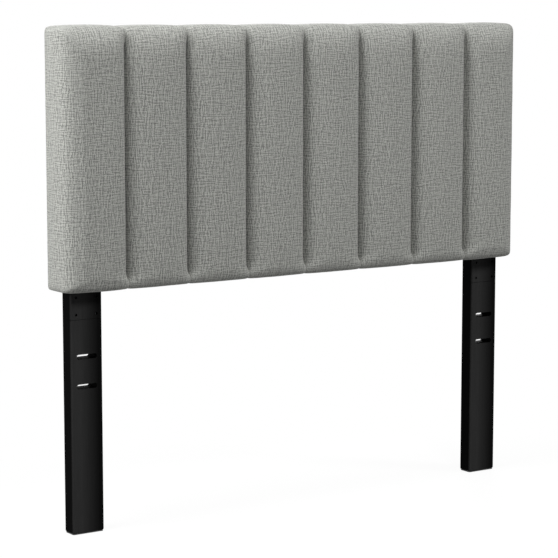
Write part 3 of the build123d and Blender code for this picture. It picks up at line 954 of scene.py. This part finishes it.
def dust_sheet(columns, rows):
    """A sheet whose y is the board's back, plus a step at the returns, scallops and a little slack.

    Step: a logistic curve of the distance from the returns' border. Scallops: a cosine with the
    staples' gap that dies away from the border. Slack: the size of a product of two sines.
    """
    half_x, half_z = dust_high.x, (dust_high.z - dust_low.z) / 2
    middle_z = dust_low.z + half_z
    x, z = np.meshgrid(np.linspace(-half_x, half_x, columns), np.linspace(-half_z, half_z, rows))
    past_x = np.clip((np.abs(x) - half_x + dust_corner) / dust_corner, 0, 1)
    past_z = np.clip((np.abs(z) - half_z + dust_corner) / dust_corner, 0, 1)
    squeeze_x = dust_corner * (1 - np.sqrt(1 - past_z**2 / 2)) * past_x
    squeeze_z = dust_corner * (1 - np.sqrt(1 - past_x**2 / 2)) * past_z
    from_edge = np.minimum(panel_right - np.abs(x), half_z + dust_margin - np.abs(z))
    over_return = 1 / (1 + np.exp((from_edge - cloth_return) / step_width))
    from_border = np.minimum(half_x - np.abs(x), half_z - np.abs(z))
    near_border = np.exp(-((from_border / scallop_reach) ** 2))
    scallop = np.cos(2 * np.pi * x / staple_gap) * near_border * scallop_height
    swing = np.sin(x / slack_across + slack_start) * np.sin(z / slack_up)
    slack = np.abs(slack_height * swing * (1 - over_return))
    step = (cover_back_y - board_back_y) * over_return
    y = board_back_y + dust_lies + step + scallop + slack
    grid = np.stack([x - np.sign(x) * squeeze_x, y, middle_z + z - np.sign(z) * squeeze_z], -1)
    return weld([(grid[:, ::-1], np.stack([x, z], -1))])


points, quads, _, _ = dust_sheet(180, 84)
dust = new_object("dust_cover_cloth", points, quads)
dust_thick = dust.modifiers.new("thickness", "SOLIDIFY")
dust_thick.thickness = dust_thickness
dust_thick.offset = -1
dust.data.materials.append(finishes["dust_cover_cloth"])
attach(dust, "root")
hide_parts("dust_cover")
print("dust cover:", round(2 * dust_high.x, 3), "by", round(dust_high.z - dust_low.z, 3), "m")

# %% [markdown]
# ## Studio
# The photograph is on pure white. What the camera sees behind the object is white by itself,
# and no lamp is stronger for it: the floor and the world are white where a ray comes straight
# from the camera, off a gloss or through glass, and a plain grey for the light that they give
# the object. Near the legs the floor is a little less white, so that it keeps their shadow.


# %% Rays that see the white
def seen_white(tree):
    """1 for a camera, glossy or transmission ray and 0 for the others."""
    ray = add_node(tree, "ShaderNodeLightPath")
    seen = add_node(
        tree, "ShaderNodeMath",
        links={0: ray.outputs["Is Camera Ray"], 1: ray.outputs["Is Glossy Ray"]},
        operation="MAXIMUM",
    )
    through = add_node(
        tree, "ShaderNodeMath",
        links={0: seen.outputs["Value"], 1: ray.outputs["Is Transmission Ray"]},
        operation="MAXIMUM",
    )
    return through.outputs["Value"]


# %% Floor
floor_half = 30.0
shadow_area = (1.5, 0.9)  # half axes in metres of the ellipse in which the shadow is kept
shadow_white = 0.93  # the share of plain white in its middle
floor_x, floor_y = np.array([-1, 1, 1, -1]) * floor_half, np.array([-1, -1, 1, 1]) * floor_half
floor = new_object(
    "studio_floor", np.column_stack([floor_x, floor_y, floor_x * 0]), np.array([[0, 1, 2, 3]])
)

# %% The floor's paint: white where it is seen, grey for its light on the object
floor_material = bpy.data.materials.new("painted_studio_floor_white")
floor_material.use_nodes = True
floor_tree = floor_material.node_tree
floor_tree.nodes.clear()
floor_white = add_node(floor_tree, "ShaderNodeEmission", {"Color": (1, 1, 1, 1), "Strength": 1.0})
floor_seen = seen_white(floor_tree)
floor_colour = add_node(
    floor_tree, "ShaderNodeMix", {"A": linear("#8a8a8a"), "B": linear("#f4f4f4")},
    {"Factor": floor_seen}, data_type="RGBA",
)
floor_matt = add_node(
    floor_tree, "ShaderNodeBsdfDiffuse", links={"Color": floor_colour.outputs["Result"]}
)
floor_place = add_node(floor_tree, "ShaderNodeTexCoord")
floor_spread = add_node(
    floor_tree, "ShaderNodeMapping", {"Scale": (1 / shadow_area[0], 1 / shadow_area[1], 1)},
    {"Vector": floor_place.outputs["Object"]},
)
floor_far = add_node(
    floor_tree, "ShaderNodeVectorMath", links={0: floor_spread.outputs["Vector"]},
    operation="LENGTH",
)
floor_white_share = add_node(
    floor_tree, "ShaderNodeMapRange",
    {"From Min": 0.5, "From Max": 1.0, "To Min": shadow_white, "To Max": 1.0},
    {"Value": floor_far.outputs["Value"]}, interpolation_type="SMOOTHSTEP",
)
floor_share = add_node(
    floor_tree, "ShaderNodeMath",
    links={0: floor_seen, 1: floor_white_share.outputs["Result"]}, operation="MULTIPLY",
)
floor_mix = add_node(
    floor_tree, "ShaderNodeMixShader",
    links={
        0: floor_share.outputs["Value"], 1: floor_matt.outputs["BSDF"],
        2: floor_white.outputs["Emission"],
    },
)
add_node(floor_tree, "ShaderNodeOutputMaterial", links={"Surface": floor_mix.outputs["Shader"]})
floor.data.materials.append(floor_material)
print("floor:", 2 * floor_half, "m square")

# %% World
fill_strength = 0.10  # a faint light from all round, so that no side is quite dark
world = bpy.data.worlds.new("white_studio")
bpy.context.scene.world = world
world.use_nodes = True
world_tree = world.node_tree
world_tree.nodes.clear()
world_fill, world_white = (
    add_node(world_tree, "ShaderNodeBackground", {"Color": (1, 1, 1, 1), "Strength": strength})
    for strength in (fill_strength, 1.0)
)
world_mix = add_node(
    world_tree, "ShaderNodeMixShader",
    links={
        0: seen_white(world_tree), 1: world_fill.outputs["Background"],
        2: world_white.outputs["Background"],
    },
)
add_node(world_tree, "ShaderNodeOutputWorld", links={"Surface": world_mix.outputs["Shader"]})

# %% [markdown]
# The light is soft. The panel's left side and its top are the brightest, and each channel is
# darkest just right of its seam. So lamps stand on the left and over the left end, two hang
# high in front, the right one the stronger, and one behind serves the back alone. Lamps could be
# set by eye, but here each was rendered by itself, and the powers of the first five are the
# mixture that comes nearest to the photograph's tones.


# %% Lamps
def soft_lamp(name, place, aim, size, power):
    """A square area lamp of size metres and power watts at place, turned to shine at aim."""
    data = bpy.data.lights.new(name, "AREA")
    data.size = size
    data.energy = power
    lamp = bpy.data.objects.new(name, data)
    lamp.location = place
    direction = np.array(aim) - np.array(place)
    lamp.rotation_euler = (
        math.atan2(math.hypot(direction[0], direction[1]), -direction[2]),
        0,
        math.atan2(-direction[0], direction[1]),
    )
    bpy.context.scene.collection.objects.link(lamp)


soft_lamp("above_left", (-2.0, -0.35, 4.2), (0.0, 0.0, 1.2), 1.0, 106)
soft_lamp("left_back", (-4.0, 1.6, 1.5), (-0.7, 0.0, 1.0), 1.8, 17)
soft_lamp("left_side", (-4.4, 0.3, 2.0), (-0.7, 0.0, 1.0), 1.8, 105)
soft_lamp("front_left", (-1.6, -4.6, 5.2), (0.0, 0.0, 0.8), 1.5, 116)
soft_lamp("front_right", (4.0, -4.0, 4.6), (0.0, 0.0, 0.8), 1.5, 188)
soft_lamp("behind", (3.2, 3.6, 2.6), (0.0, 0.0, 0.9), 1.5, 120)
